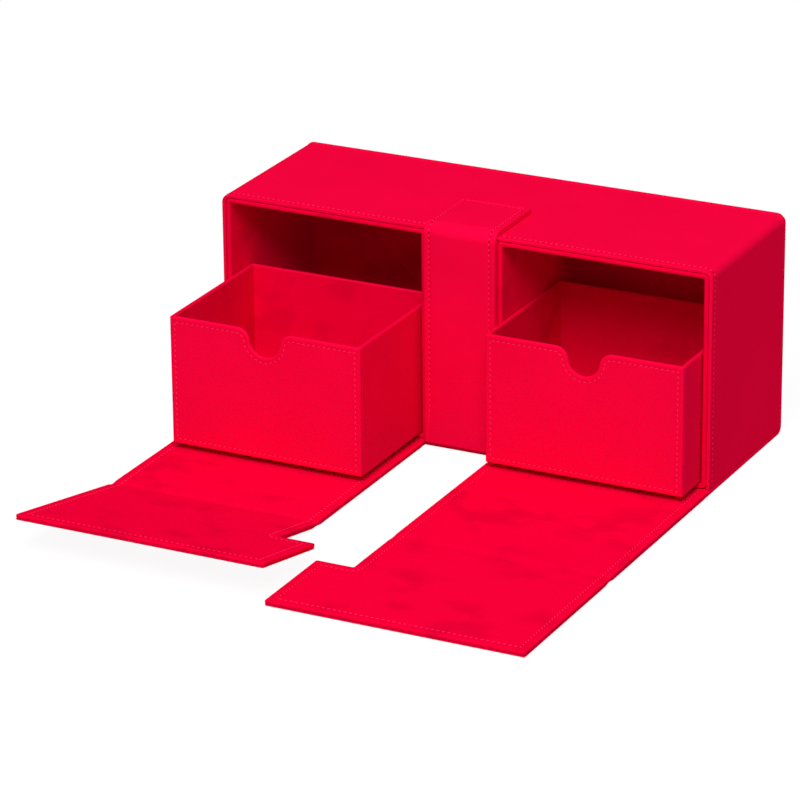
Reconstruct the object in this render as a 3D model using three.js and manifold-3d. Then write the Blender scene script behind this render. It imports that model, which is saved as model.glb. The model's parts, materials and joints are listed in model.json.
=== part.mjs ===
// Card box with two pull-out trays, a centre strap and two wrap-over flaps.
// Millimetres, +Z up. X runs to the right, Y runs to the back, and the origin is the middle
// of the base panel's underside. The box stands open: trays drawn out, flaps folded down flat.
import * as THREE from 'three';
import { mergeVertices } from 'three/addons/utils/BufferGeometryUtils.js';
import Module from 'manifold-3d';

// Case, outside sizes
const case_width = 248;
const case_depth = 85.4;
const case_height = 107.7;
const top_edge_radius = 4.2;
const spine_radius = 4;
const spine_rise = 0.4;
const spine_corner_radius = 4.4;
const case_edge_round = 0.4;

// Sheet materials
const skin = 0.5;
const cloth = 0.5;
const glue_line = 0.1;
const base_board = 2;
const back_board = 2.1;
const wrap_board = 1;
const liner_board = 1.6;
const tray_board = 1;
const tray_floor_board = 1.4;
const flap_board = 1.1;

// Compartment liners
const liner_gap = 0.35;
const inner_rim_radius = 1.4;

// Centre strap
const strap_width = 36.6;
const strap_thickness = 2.8;
const strap_reach = 36.7;
const strap_bend_radius = 6.2;
const strap_foot_height = 2.4;
const strap_corner_radius = 1.5;
const strap_edge_round = 0.8;

// Trays
const tray_height = 62.6;
const tray_side_clearance = 0.75;
const tray_floor_clearance = 0.45;
const tray_back_clearance = 0.8;
const tray_front_recess = 0.2;
const tray_corner_radius = 0.9;
const left_tray_out = 60.3;
const right_tray_out = 19.5;
const notch_depth = 12.6;
const notch_radius = 7.7;
const notch_shoulder_radius = 6.6;
const tray_roll = 0.66;

// Flaps: a front panel, a fold and a tip with a tab that closes behind the strap
const flap_glue_gap = 0.3;
const flap_rim = 0.8;
const flap_seam_height = 0.95;
const flap_edge_round = 0.45;
const flap_corner_radius = 1.1;
const hinge_width = 5.4;
const crease_allowance = 0.8;
const crease_width = 8.8;
const fold_clearance = 0.1;
const fold_slack = 0.3;
const strap_gap = 0.4;
const tab_gap = 0.8;
const tab_clearance = 0.2;
const tip_setback = 0.3;
const left_tip_lift = THREE.MathUtils.degToRad(11.2);

// Closures: disc magnets in the tips, steel keepers in the top of the case
const magnet_radius = 6;
const magnet_spacing = 44;
const magnet_setback = 17;
const magnet_gap = 0.3;
const keeper_length = 64;
const keeper_width = 18;

// Facets
const arc_steps = 3;
const bevel_steps = 2;
const disc_steps = 28;
const fold_steps = 4;
const least_step = 0.001;
const overrun = 5;

// Places worked out from the sizes
const front = -case_depth / 2;
const back = case_depth / 2;
const half_width = case_width / 2;
const strap_half = strap_width / 2;
const base_thickness = skin + glue_line + base_board;
const back_thickness = skin + glue_line + back_board;
const wrap_thickness = skin + glue_line + wrap_board;
const wrap_foot = base_thickness + glue_line;
const wrap_back = back - back_thickness - glue_line;
const wrap_inner_radius = top_edge_radius - wrap_thickness;
const liner_wall = cloth + glue_line + liner_board;
const liner_outer_x = half_width - wrap_thickness - liner_gap;
const liner_bottom = base_thickness + liner_gap;
const liner_top = case_height - wrap_thickness - liner_gap;
const liner_back = back - back_thickness - liner_gap;
const outer_rim_radius = wrap_inner_radius - liner_gap;
const bay_inner_x = strap_half + liner_wall;
const bay_outer_x = liner_outer_x - liner_wall;
const bay_floor = liner_bottom + liner_wall;
const bay_roof = liner_top - liner_wall;
const bay_back = liner_back - liner_wall;
const bay_centre_x = (bay_inner_x + bay_outer_x) / 2;
const tray_width = bay_outer_x - bay_inner_x - 2 * tray_side_clearance;
const tray_depth = bay_back - front - tray_front_recess - tray_back_clearance;
const tray_bottom = bay_floor + tray_floor_clearance;
const tray_wall = skin + glue_line + tray_board + glue_line + cloth;
const notch_middle = tray_height - notch_depth + notch_radius;
const shoulder_middle = tray_height - notch_shoulder_radius;
const notch_span = notch_radius + notch_shoulder_radius;
const notch_lean = Math.asin((notch_middle - shoulder_middle) / notch_span);
const notch_reach = notch_span * Math.cos(notch_lean);
const flap_thickness = skin + flap_glue_gap + flap_board + flap_glue_gap + cloth;
const fold_thickness = skin + flap_glue_gap + cloth;
const fold_height = skin / 2;
const skin_lip_gap = fold_height + fold_clearance;
const lining_lip_gap = fold_thickness - fold_height + fold_clearance;
const fold_reach = flap_thickness - fold_height + fold_slack;
const hinge_y = front - hinge_width / 2;
const crease_reach = case_height + crease_allowance - hinge_width / 2;
const flap_inner_x = strap_half + strap_gap;
const tab_inner_x = tab_gap / 2;
const tab_reach = strap_reach + tab_clearance;
const tip_reach = case_depth - tip_setback;

const sides = { left: -1, right: 1 };

// Materials
const leatherette = new THREE.MeshStandardMaterial({ color: 0xe30636, roughness: 0.62, metalness: 0 });
const suede = new THREE.MeshStandardMaterial({ color: 0xff0a38, roughness: 0.95, metalness: 0 });
const greyboard = new THREE.MeshStandardMaterial({ color: 0x8d8a84, roughness: 0.9, metalness: 0 });
const steel = new THREE.MeshStandardMaterial({ color: 0xa9adb2, roughness: 0.35, metalness: 1 });
const nickel = new THREE.MeshStandardMaterial({ color: 0xc9c6be, roughness: 0.25, metalness: 1 });

const wasm = await Module();
wasm.setup();

// A closed three.js geometry as a solid that can be joined and cut.
function solidFrom(geometry) {
  const bare = geometry.clone();
  bare.deleteAttribute('normal');
  bare.deleteAttribute('uv');
  const merged = mergeVertices(bare);
  const vertProperties = Float32Array.from(merged.attributes.position.array);
  const triVerts = Uint32Array.from(merged.index.array);
  return new wasm.Manifold(new wasm.Mesh({ numProp: 3, vertProperties, triVerts }));
}

function geometryFrom(solid) {
  const { vertProperties, triVerts } = solid.getMesh();
  const geometry = new THREE.BufferGeometry();
  geometry.setAttribute('position', new THREE.BufferAttribute(Float32Array.from(vertProperties), 3));
  geometry.setIndex(new THREE.BufferAttribute(Uint32Array.from(triVerts), 1));
  geometry.computeVertexNormals();
  return geometry;
}

function addPiece(group, name, solid, material) {
  const mesh = new THREE.Mesh(geometryFrom(solid), material);
  mesh.name = name;
  group.add(mesh);
}

// Points of an outline, leaving out each one that repeats the point before it.
function pointsOf(outline) {
  const points = outline.extractPoints(arc_steps).shape;
  return points.filter((point, index) => point.distanceTo(points.at(index - 1)) > least_step);
}

// A flat outline drawn in two axes, run along the third from low to high, its end edges rounded.
function run(outline, low, high, round, axes) {
  const geometry = new THREE.ExtrudeGeometry(new THREE.Shape(pointsOf(outline)), {
    depth: high - low - 2 * round,
    bevelEnabled: round > 0,
    bevelThickness: round,
    bevelSize: round,
    bevelOffset: -round,
    bevelSegments: bevel_steps,
  });
  geometry.translate(0, 0, low + round);
  geometry.applyMatrix4(new THREE.Matrix4().makeBasis(...axes));
  return solidFrom(geometry);
}

const x_axis = new THREE.Vector3(1, 0, 0);
const y_axis = new THREE.Vector3(0, 1, 0);
const z_axis = new THREE.Vector3(0, 0, 1);

// Outline in X and Y, run upwards.
function runUp(outline, low, high, round = 0) {
  return run(outline, low, high, round, [x_axis, y_axis, z_axis]);
}

// Outline in Y and Z, run from left to right.
function runAcross(outline, left, right, round = 0) {
  return run(outline, left, right, round, [y_axis, z_axis, x_axis]);
}

// Outline in X and Z, run from front to back.
function runBack(outline, near, far, round = 0) {
  return run(outline, -far, -near, round, [x_axis, z_axis, y_axis.clone().negate()]);
}

function block([x0, x1], [y0, y1], [z0, z1]) {
  const geometry = new THREE.BoxGeometry(x1 - x0, y1 - y0, z1 - z0);
  geometry.translate((x0 + x1) / 2, (y0 + y1) / 2, (z0 + z1) / 2);
  return solidFrom(geometry);
}

// A range across the box on one side of the middle, always lowest first.
function spanOn(side, inner, outer) {
  return side > 0 ? [inner, outer] : [-outer, -inner];
}

// A rectangle with a radius at each corner: low-low, high-low, high-high, low-high.
function rectangle([a0, a1], [b0, b1], radii = [0, 0, 0, 0]) {
  const [r0, r1, r2, r3] = radii;
  const quarter = Math.PI / 2;
  const outline = new THREE.Shape();
  outline.moveTo(a0 + r0, b0);
  outline.lineTo(a1 - r1, b0);
  if (r1 > 0) outline.absarc(a1 - r1, b0 + r1, r1, -quarter, 0, false);
  outline.lineTo(a1, b1 - r2);
  if (r2 > 0) outline.absarc(a1 - r2, b1 - r2, r2, 0, quarter, false);
  outline.lineTo(a0 + r3, b1);
  if (r3 > 0) outline.absarc(a0 + r3, b1 - r3, r3, quarter, 2 * quarter, false);
  outline.lineTo(a0, b0 + r0);
  if (r0 > 0) outline.absarc(a0 + r0, b0 + r0, r0, 2 * quarter, 3 * quarter, false);
  return outline;
}

// Base panel and back panel: one skin that bends up at the back, with a board in each.
function spineOutline(inset) {
  const base_back = back - inset;
  const radius = spine_radius - inset;
  const top = case_height + spine_rise - inset;
  const open = inset > 0 ? overrun : 0;
  const outline = new THREE.Shape();
  outline.moveTo(front + inset, inset);
  outline.lineTo(base_back - radius, inset);
  outline.absarc(base_back - radius, inset + radius, radius, -Math.PI / 2, 0, false);
  outline.lineTo(base_back, top);
  outline.lineTo(back - back_thickness - open, top);
  outline.lineTo(back - back_thickness - open, base_thickness + open);
  outline.lineTo(front + inset, base_thickness + open);
  return outline;
}

// The spine's front view as a solid, which rounds the top corners of the back panel.
function spineView(inset) {
  const wide = [inset - half_width, half_width - inset];
  const radius = spine_corner_radius - inset;
  const view = rectangle(wide, [inset, case_height + spine_rise - inset], [0, 0, radius, radius]);
  return runBack(view, front - overrun, back + overrun);
}

function addSpine(group) {
  const full = runAcross(spineOutline(0), -half_width, half_width, case_edge_round);
  const pocket = runAcross(spineOutline(skin), skin - half_width, half_width - skin);
  let spine = full.intersect(spineView(0)).subtract(pocket.intersect(spineView(skin)));
  for (const side of Object.values(sides)) {
    const lip_x = spanOn(side, flap_inner_x, half_width - case_edge_round);
    spine = spine.add(block(lip_x, [hinge_y + skin_lip_gap, front + case_edge_round], [0, skin]));
  }
  addPiece(group, 'spine_skin', spine, leatherette);

  const inset = skin + glue_line;
  const board_x = [inset - half_width, half_width - inset];
  const base = block(board_x, [front + inset, back - spine_radius], [inset, base_thickness]);
  addPiece(group, 'base_board', base, greyboard);
  const rise = [spine_radius, case_height + spine_rise - inset];
  const rear = block(board_x, [back - back_thickness, back - inset], rise).intersect(spineView(inset));
  addPiece(group, 'back_board', rear, greyboard);
}

// Outer wrap: one skin over two sides and the top, turned in round the boards at the front and foot.
function wrapOutline(inset) {
  const radius = top_edge_radius - inset;
  const wide = [inset - half_width, half_width - inset];
  return rectangle(wide, [wrap_foot + inset, case_height - inset], [0, 0, radius, radius]);
}

// A plate lying flat under the top skin, one on each side of the strap, where the tips close.
function keeperPlace(side, margin) {
  const centre_x = side * (flap_inner_x + half_width) / 2;
  const centre_y = back - magnet_setback;
  const half_length = keeper_length / 2 + margin;
  const half_breadth = keeper_width / 2 + margin;
  return [
    [centre_x - half_length, centre_x + half_length],
    [centre_y - half_breadth, centre_y + half_breadth],
  ];
}

function addWrap(group) {
  const full = runBack(wrapOutline(0), front, wrap_back, case_edge_round);
  const pocket = runBack(wrapOutline(skin), front + skin, wrap_back + overrun);
  const inner_x = half_width - wrap_thickness;
  const inside = rectangle([-inner_x, inner_x], [0, case_height - wrap_thickness],
    [0, 0, wrap_inner_radius, wrap_inner_radius]);
  const hollow = runBack(inside, front - overrun, back + overrun);
  addPiece(group, 'wrap_skin', full.subtract(hollow).subtract(pocket), leatherette);

  const inset = skin + glue_line;
  const board_y = [front + inset, wrap_back];
  const side_z = [wrap_foot + inset, case_height - top_edge_radius];
  const top_x = [top_edge_radius - half_width, half_width - top_edge_radius];
  const top_z = [case_height - wrap_thickness, case_height - inset];
  let top = block(top_x, board_y, top_z);
  for (const [name, side] of Object.entries(sides)) {
    const board_x = spanOn(side, half_width - wrap_thickness, half_width - inset);
    addPiece(group, `wrap_${name}_board`, block(board_x, board_y, side_z), greyboard);
    top = top.subtract(block(...keeperPlace(side, glue_line), [top_z[0] - overrun, top_z[1] + overrun]));
    addPiece(group, `${name}_keeper`, block(...keeperPlace(side, 0), top_z), steel);
  }
  addPiece(group, 'wrap_top_board', top, greyboard);
}

// Compartment liner: a cloth-lined board box, open at the front, its cloth turned over the rim.
function addLiner(group, name, side) {
  const outer_x = spanOn(side, strap_half, liner_outer_x);
  const outer_z = [liner_bottom, liner_top];
  const depth = liner_wall - cloth;
  const sleeve_x = [outer_x[0] + depth, outer_x[1] - depth];
  const sleeve_z = [outer_z[0] + depth, outer_z[1] - depth];
  const bay_x = [outer_x[0] + liner_wall, outer_x[1] - liner_wall];
  const [left_radius, right_radius] = side > 0
    ? [inner_rim_radius, outer_rim_radius]
    : [outer_rim_radius, inner_rim_radius];
  const outline = rectangle(outer_x, outer_z, [left_radius, right_radius, right_radius, left_radius]);
  const rim = runBack(outline, front, front + cloth);
  const sleeve = block(sleeve_x, [front, liner_back - depth], sleeve_z);
  const bay = block(bay_x, [front - overrun, bay_back], [bay_floor, bay_roof]);
  addPiece(group, `${name}_liner_cloth`, rim.add(sleeve).subtract(bay), suede);

  const wall_y = [front + cloth + glue_line, liner_back - liner_board - glue_line];
  const low_z = [outer_z[0], outer_z[0] + liner_board];
  const high_z = [outer_z[1] - liner_board, outer_z[1]];
  const side_z = [low_z[1] + glue_line, high_z[0] - glue_line];
  const inner_x = spanOn(side, strap_half, strap_half + liner_board);
  const far_x = spanOn(side, liner_outer_x - liner_board, liner_outer_x);
  const back_y = [liner_back - liner_board, liner_back];
  const boards = {
    floor: block(outer_x, wall_y, low_z),
    roof: block(outer_x, wall_y, high_z),
    inner: block(inner_x, wall_y, side_z),
    outer: block(far_x, wall_y, side_z),
    back: block(outer_x, back_y, outer_z),
  };
  const rounded = runBack(outline, front - overrun, back + overrun);
  for (const [place, board] of Object.entries(boards)) {
    addPiece(group, `${name}_liner_${place}_board`, board.intersect(rounded), greyboard);
  }
}

// Board that closes the middle of the case between the liners and carries the strap.
function addCentreBoard(group) {
  const board_x = [glue_line - strap_half, strap_half - glue_line];
  const board_z = [base_thickness + glue_line, case_height - wrap_thickness - glue_line];
  const board = block(board_x, [front, front + liner_board], board_z);
  addPiece(group, 'centre_board', board, greyboard);
}

// Strap: stands on the front of the case and bends back over its top.
function addStrap(group) {
  const near_y = front - glue_line;
  const face_y = near_y - strap_thickness;
  const low_z = case_height + glue_line;
  const top_z = low_z + strap_thickness;
  const end_y = front + strap_reach;
  const strap_x = [-strap_half, strap_half];
  const side_view = rectangle([face_y, end_y], [strap_foot_height, top_z], [0, 0, 0, strap_bend_radius]);
  const case_space = block([-half_width, half_width], [near_y, end_y + overrun], [0, low_z]);
  const bent = runAcross(side_view, ...strap_x, strap_edge_round).subtract(case_space);

  // Plan of the top leg and elevation of the front leg, which round the free corners.
  const free = strap_corner_radius;
  const plan = runUp(rectangle(strap_x, [face_y - overrun, end_y], [0, 0, free, free]),
    strap_foot_height - overrun, top_z + overrun);
  const elevation = runBack(rectangle(strap_x, [strap_foot_height, top_z + overrun], [free, free, 0, 0]),
    face_y - overrun, end_y + overrun);

  const rim = skin + glue_line;
  const board_half = strap_half - strap_edge_round - rim;
  const front_z = [strap_foot_height + strap_edge_round + rim, case_height - strap_bend_radius];
  const top_y = [front + strap_bend_radius, end_y - strap_edge_round - rim];
  const pocket_x = [-board_half - glue_line, board_half + glue_line];
  const front_pocket = block(pocket_x, [face_y + skin, near_y + overrun],
    [front_z[0] - glue_line, front_z[1] + glue_line]);
  const top_pocket = block(pocket_x, [top_y[0] - glue_line, top_y[1] + glue_line],
    [low_z - overrun, top_z - skin]);
  const covering = bent.intersect(plan).intersect(elevation).subtract(front_pocket).subtract(top_pocket);
  addPiece(group, 'strap_skin', covering, leatherette);
  const board_x = [-board_half, board_half];
  addPiece(group, 'strap_front_board', block(board_x, [face_y + rim, near_y], front_z), greyboard);
  addPiece(group, 'strap_top_board', block(board_x, top_y, [low_z, top_z - rim]), greyboard);
}

// Thumb notch: an arc between two shoulders, each meeting it on a slope. It is drawn from its right
// shoulder round to its left one, grown by the given amount.
function drawNotch(outline, grow) {
  const quarter = Math.PI / 2;
  const radius = notch_radius + grow;
  const shoulder = notch_shoulder_radius - grow;
  outline.lineTo(notch_reach, shoulder_middle + shoulder);
  outline.absarc(notch_reach, shoulder_middle, shoulder, quarter, 2 * quarter - notch_lean, false);
  outline.absarc(0, notch_middle, radius, -notch_lean, -quarter, true);
  outline.absarc(0, notch_middle, radius, -quarter, notch_lean - 2 * quarter, true);
  outline.absarc(-notch_reach, shoulder_middle, shoulder, notch_lean, quarter, false);
}

function notchCut(grow, near, far) {
  const outline = new THREE.Shape();
  outline.moveTo(notch_reach, tray_height + overrun);
  drawNotch(outline, grow);
  outline.lineTo(-notch_reach, tray_height + overrun);
  return runBack(outline, near, far);
}

// Front wall of a tray in one outline with its notch, so that one roll runs along the whole edge.
function trayFrontOutline() {
  const half = tray_width / 2;
  const quarter = Math.PI / 2;
  const corner = tray_corner_radius;
  const outline = new THREE.Shape();
  outline.moveTo(-half, 0);
  outline.lineTo(half, 0);
  outline.lineTo(half, tray_height - corner);
  outline.absarc(half - corner, tray_height - corner, corner, 0, quarter, false);
  drawNotch(outline, 0);
  outline.lineTo(corner - half, tray_height);
  outline.absarc(corner - half, tray_height - corner, corner, quarter, 2 * quarter, false);
  return outline;
}

// Both sides and the back of a tray as one wall, rolled along its edges, with the floor between.
function trayBodyWalls() {
  const near = skin + glue_line;
  const half = tray_width / 2;
  const inner = half - tray_wall;
  const rear = tray_depth - tray_wall;
  const corner = tray_corner_radius;
  const quarter = Math.PI / 2;
  const outline = new THREE.Shape();
  outline.moveTo(-half, near);
  outline.lineTo(-inner, near);
  outline.lineTo(-inner, rear);
  outline.lineTo(inner, rear);
  outline.lineTo(inner, near);
  outline.lineTo(half, near);
  outline.lineTo(half, tray_depth - corner);
  outline.absarc(half - corner, tray_depth - corner, corner, 0, quarter, false);
  outline.lineTo(corner - half, tray_depth);
  outline.absarc(corner - half, tray_depth - corner, corner, quarter, 2 * quarter, false);
  const flat = half - tray_roll;
  const floor = block([-flat, flat], [near, tray_depth - tray_roll], [0, skin]);
  return runUp(outline, 0, tray_height, tray_roll).add(floor);
}

// A tray stands in its own frame: front face at Y 0, underside at Z 0, middle at X 0.
function makeTray(name) {
  const group = new THREE.Group();
  const half = tray_width / 2;
  const rim = skin + glue_line;
  const top = tray_height;

  // Front skin: the front face, rolled over the top edge and round the notch.
  const front_wall = runBack(trayFrontOutline(), 0, tray_wall, tray_roll);
  const across = [-half - overrun, half + overrun];
  const behind = block(across, [skin, tray_wall + overrun], [-overrun, top - skin]);
  const front_pocket = behind.subtract(notchCut(skin, -overrun, tray_wall + 2 * overrun));
  addPiece(group, `${name}_tray_front_skin`, front_wall.subtract(front_pocket), leatherette);

  // Body skin: the outside of the other walls and the floor, turned in over the top of the walls.
  const inside = block([skin - half, half - skin], [-overrun, tray_depth - skin], [skin, top - skin]);
  const front_hem = block(across, [-overrun, tray_wall + glue_line], [top - rim, top + overrun]);
  const body = trayBodyWalls().subtract(inside).subtract(front_hem);
  addPiece(group, `${name}_tray_body_skin`, body, leatherette);

  // Boards: a floor with four walls standing on it.
  const floor_z = [rim, rim + tray_floor_board];
  const wall_z = [floor_z[1] + glue_line, top - rim];
  const board_x = [rim - half, half - rim];
  const board_y = [rim, tray_depth - rim];
  const side_y = [rim + tray_board + glue_line, tray_depth - rim - tray_board - glue_line];
  const notch = notchCut(rim, -overrun, tray_wall + overrun);
  const front_board = block(board_x, [board_y[0], board_y[0] + tray_board], wall_z).subtract(notch);
  const back_board = block(board_x, [board_y[1] - tray_board, board_y[1]], wall_z);
  const left_board = block([board_x[0], board_x[0] + tray_board], side_y, wall_z);
  const right_board = block([board_x[1] - tray_board, board_x[1]], side_y, wall_z);
  addPiece(group, `${name}_tray_floor_board`, block(board_x, board_y, floor_z), greyboard);
  addPiece(group, `${name}_tray_front_board`, front_board, greyboard);
  addPiece(group, `${name}_tray_back_board`, back_board, greyboard);
  addPiece(group, `${name}_tray_left_board`, left_board, greyboard);
  addPiece(group, `${name}_tray_right_board`, right_board, greyboard);

  // Cloth lining: floor and four walls in one, its front cut out for the notch.
  const depth = tray_wall - cloth;
  const around = block([depth - half, half - depth], [depth, tray_depth - depth], wall_z);
  const hollow = block([tray_wall - half, half - tray_wall], [tray_wall, tray_depth - tray_wall],
    [wall_z[0] + cloth, top + overrun]);
  addPiece(group, `${name}_tray_lining`, around.subtract(hollow).subtract(notch), suede);
  return group;
}

// The lining's upper face near a fold, as distances from the fold line and heights.
function foldCurve() {
  const points = [];
  for (let step = 0; step <= fold_steps; step += 1) {
    const along = step / fold_steps;
    const rise = (1 - Math.cos(Math.PI * along)) / 2;
    const distance = lining_lip_gap + (fold_reach - lining_lip_gap) * along;
    points.push([distance, fold_thickness + (flap_thickness - fold_thickness) * rise]);
  }
  return points;
}

// Side views of a flap piece that runs forward from its fold line at Y 0, ending at the next fold
// where there is one. Each is a row of [Y, Z] points from the fold line to the far end.
function liningTop(reach, next_fold) {
  const near = foldCurve().map(([distance, height]) => [-distance, height]);
  if (!next_fold) return [...near, [-reach, flap_thickness]];
  return [...near, ...foldCurve().map(([distance, height]) => [distance - reach, height]).reverse()];
}

function outlineFrom(points) {
  return new THREE.Shape(points.map(([a, b]) => new THREE.Vector2(a, b)));
}

// Skin, board and lining of one flap piece, from its plan outline and its side views.
function addLayers(group, name, plan, reach, next_fold, board_y, holes) {
  const everywhere = [-half_width - overrun, half_width + overrun];
  const seam = flap_seam_height;
  const top = liningTop(reach, next_fold);
  const full_plan = runUp(plan(0), 0, flap_thickness, flap_edge_round);
  const inner_plan = runUp(plan(flap_rim), -overrun, flap_thickness + overrun);

  // Skin: flat underneath, its lips reaching to the folds, its rim turned up to the seam.
  const far_end = next_fold ? skin_lip_gap - reach : -reach;
  const skin_top = top.map(([y, z]) => [y, Math.min(seam, z - cloth - flap_glue_gap)]);
  const lips = [[-skin_lip_gap, 0], [-skin_lip_gap, skin], ...skin_top];
  const skin_side = outlineFrom([...lips, [far_end, skin_top.at(-1)[1]], [far_end, 0]]);
  const over_skin = block(everywhere, [-reach - overrun, overrun], [skin, flap_thickness + overrun]);
  const pan = full_plan.intersect(runAcross(skin_side, ...everywhere));
  addPiece(group, `${name}_skin`, pan.subtract(over_skin.intersect(inner_plan)), leatherette);

  // Lining: follows the folds, its rim turned down to the seam.
  const foot = top.map(([y, z]) => [y, Math.min(seam + flap_glue_gap, z - cloth)]);
  const lid_side = outlineFrom([...top, ...foot.reverse()]);
  const lid = full_plan.intersect(runAcross(lid_side, ...everywhere));
  const under = top.map(([y, z]) => [y, z - cloth]);
  const near_end = [overrun, under[0][1]];
  const last_end = [under.at(-1)[0] - overrun, under.at(-1)[1]];
  const below = [[last_end[0], -overrun], [overrun, -overrun]];
  const under_side = outlineFrom([near_end, ...under, last_end, ...below]);
  const under_lining = runAcross(under_side, ...everywhere).intersect(inner_plan);
  addPiece(group, `${name}_lining`, lid.subtract(under_lining), suede);

  // Board: flat, between the two, clear of the folds.
  const board_plan = runUp(plan(flap_rim + flap_glue_gap), ...flapBoardHeights());
  let board = board_plan.intersect(block(everywhere, board_y, [-overrun, flap_thickness + overrun]));
  for (const hole of holes) board = board.subtract(hole);
  addPiece(group, `${name}_board`, board, greyboard);
}

function flapBoardHeights() {
  const low = skin + flap_glue_gap;
  return [low, low + flap_board];
}

// Front panel of a flap: a plain rectangle between the hinge and the crease.
function addPanel(group, name, side) {
  const [low_x, high_x] = spanOn(side, flap_inner_x, half_width);
  const plan = (inset) => rectangle([low_x + inset, high_x - inset], [-crease_reach - overrun, overrun]);
  const board_y = [crease_width / 2 - crease_reach, -hinge_width / 2];
  addLayers(group, `${name}_panel`, plan, crease_reach, true, board_y, []);
}

// Tip: the panel's width, then a tab that reaches to the middle of the box.
function tipOutline(side, inset) {
  const radius = Math.max(flap_corner_radius - inset, skin);
  const quarter = Math.PI / 2;
  const outer = half_width - inset;
  const tab = tab_inner_x + inset;
  const end = inset - tip_reach;
  const step = -tab_reach - inset;
  const outline = new THREE.Shape();
  outline.moveTo(flap_inner_x + inset, overrun);
  outline.lineTo(flap_inner_x + inset, step);
  outline.lineTo(tab + radius, step);
  outline.absarc(tab + radius, step - radius, radius, quarter, 2 * quarter, false);
  outline.lineTo(tab, end + radius);
  outline.absarc(tab + radius, end + radius, radius, 2 * quarter, 3 * quarter, false);
  outline.lineTo(outer - radius, end);
  outline.absarc(outer - radius, end + radius, radius, -quarter, 0, false);
  outline.lineTo(outer, overrun);
  if (side > 0) return outline;
  return outlineFrom(pointsOf(outline).map(({ x, y }) => [-x, y]));
}

function discAt(x, y, radius, [low, high]) {
  const geometry = new THREE.CylinderGeometry(radius, radius, high - low, disc_steps);
  geometry.rotateX(Math.PI / 2);
  geometry.translate(x, y, (low + high) / 2);
  return solidFrom(geometry);
}

function addTip(group, name, side) {
  const centre_x = side * (flap_inner_x + half_width) / 2;
  const places_x = [centre_x - magnet_spacing / 2, centre_x + magnet_spacing / 2];
  const place_y = magnet_setback - tip_setback - tip_reach;
  const [low, high] = flapBoardHeights();
  const holes = places_x.map((x) =>
    discAt(x, place_y, magnet_radius + magnet_gap, [low - overrun, high + overrun]));
  const board_y = [-tip_reach, -crease_width / 2];
  addLayers(group, `${name}_tip`, (inset) => tipOutline(side, inset), tip_reach, false, board_y, holes);
  places_x.forEach((x, index) => {
    const magnet = discAt(x, place_y, magnet_radius, [low, high]);
    addPiece(group, `${name}_tip_magnet_${index + 1}`, magnet, nickel);
  });
}

// A flap turns on the case at its hinge line, and its tip turns on the panel at the crease.
// Both groups have their fold line at Y 0 and Z 0, and their pieces hang below it by fold_height.
function makeFlap(name, side, tip_lift) {
  const flap = new THREE.Group();
  flap.position.set(0, hinge_y, fold_height);
  const panel = new THREE.Group();
  panel.position.z = -fold_height;
  addPanel(panel, name, side);

  const tip = new THREE.Group();
  tip.position.set(0, -crease_reach, 0);
  tip.rotation.x = -tip_lift;
  const end = new THREE.Group();
  end.position.z = -fold_height;
  addTip(end, name, side);
  tip.add(end);
  flap.add(panel, tip);
  return flap;
}

const card_box = new THREE.Group();
addSpine(card_box);
addWrap(card_box);
addCentreBoard(card_box);
addStrap(card_box);
const trays_out = { left: left_tray_out, right: right_tray_out };
const tip_lifts = { left: left_tip_lift, right: 0 };
for (const [name, side] of Object.entries(sides)) {
  addLiner(card_box, name, side);
  const tray = makeTray(name);
  tray.position.set(side * bay_centre_x, front - trays_out[name], tray_bottom);
  card_box.add(tray, makeFlap(name, side, tip_lifts[name]));
}

export default card_box;
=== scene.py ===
import bpy
import bmesh
import json
from math import asin, atan2, ceil, cos, hypot, pi, radians, sin, sqrt, tan
from mathutils import Matrix, Vector


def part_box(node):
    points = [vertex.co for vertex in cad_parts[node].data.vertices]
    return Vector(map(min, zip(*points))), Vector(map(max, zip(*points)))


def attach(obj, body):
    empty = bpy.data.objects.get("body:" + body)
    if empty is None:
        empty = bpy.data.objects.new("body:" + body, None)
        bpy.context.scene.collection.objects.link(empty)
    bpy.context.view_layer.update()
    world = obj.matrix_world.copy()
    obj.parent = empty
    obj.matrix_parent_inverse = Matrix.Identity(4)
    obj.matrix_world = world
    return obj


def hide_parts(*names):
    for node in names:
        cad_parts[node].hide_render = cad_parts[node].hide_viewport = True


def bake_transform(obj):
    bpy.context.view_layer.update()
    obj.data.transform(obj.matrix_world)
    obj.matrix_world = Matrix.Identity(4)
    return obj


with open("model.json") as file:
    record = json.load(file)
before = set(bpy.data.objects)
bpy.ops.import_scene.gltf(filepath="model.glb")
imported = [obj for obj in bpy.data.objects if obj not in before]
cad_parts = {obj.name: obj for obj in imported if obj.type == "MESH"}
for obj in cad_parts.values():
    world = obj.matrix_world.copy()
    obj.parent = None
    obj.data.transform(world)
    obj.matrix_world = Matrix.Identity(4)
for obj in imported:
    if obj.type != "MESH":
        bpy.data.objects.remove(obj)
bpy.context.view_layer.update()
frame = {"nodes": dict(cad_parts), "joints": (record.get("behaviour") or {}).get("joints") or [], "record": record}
scene = bpy.context.scene
MM = 0.001


# Sizes and places in millimetres, read from the frame
def box_mm(node):
    """A node's lowest and highest corners."""
    return [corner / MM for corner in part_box(node)]


wrap_low, wrap_high = box_mm("wrap_skin")
spine_high = box_mm("spine_skin")[1]
strap_low, strap_high = box_mm("strap_skin")
tip_low, tip_high = box_mm("right_tip_lining")
panel_lining_low = box_mm("right_panel_lining")[0]
JOINTS = {joint["name"]: joint for joint in frame["joints"]}
SIDES = {"left": -1, "right": 1}

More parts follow.
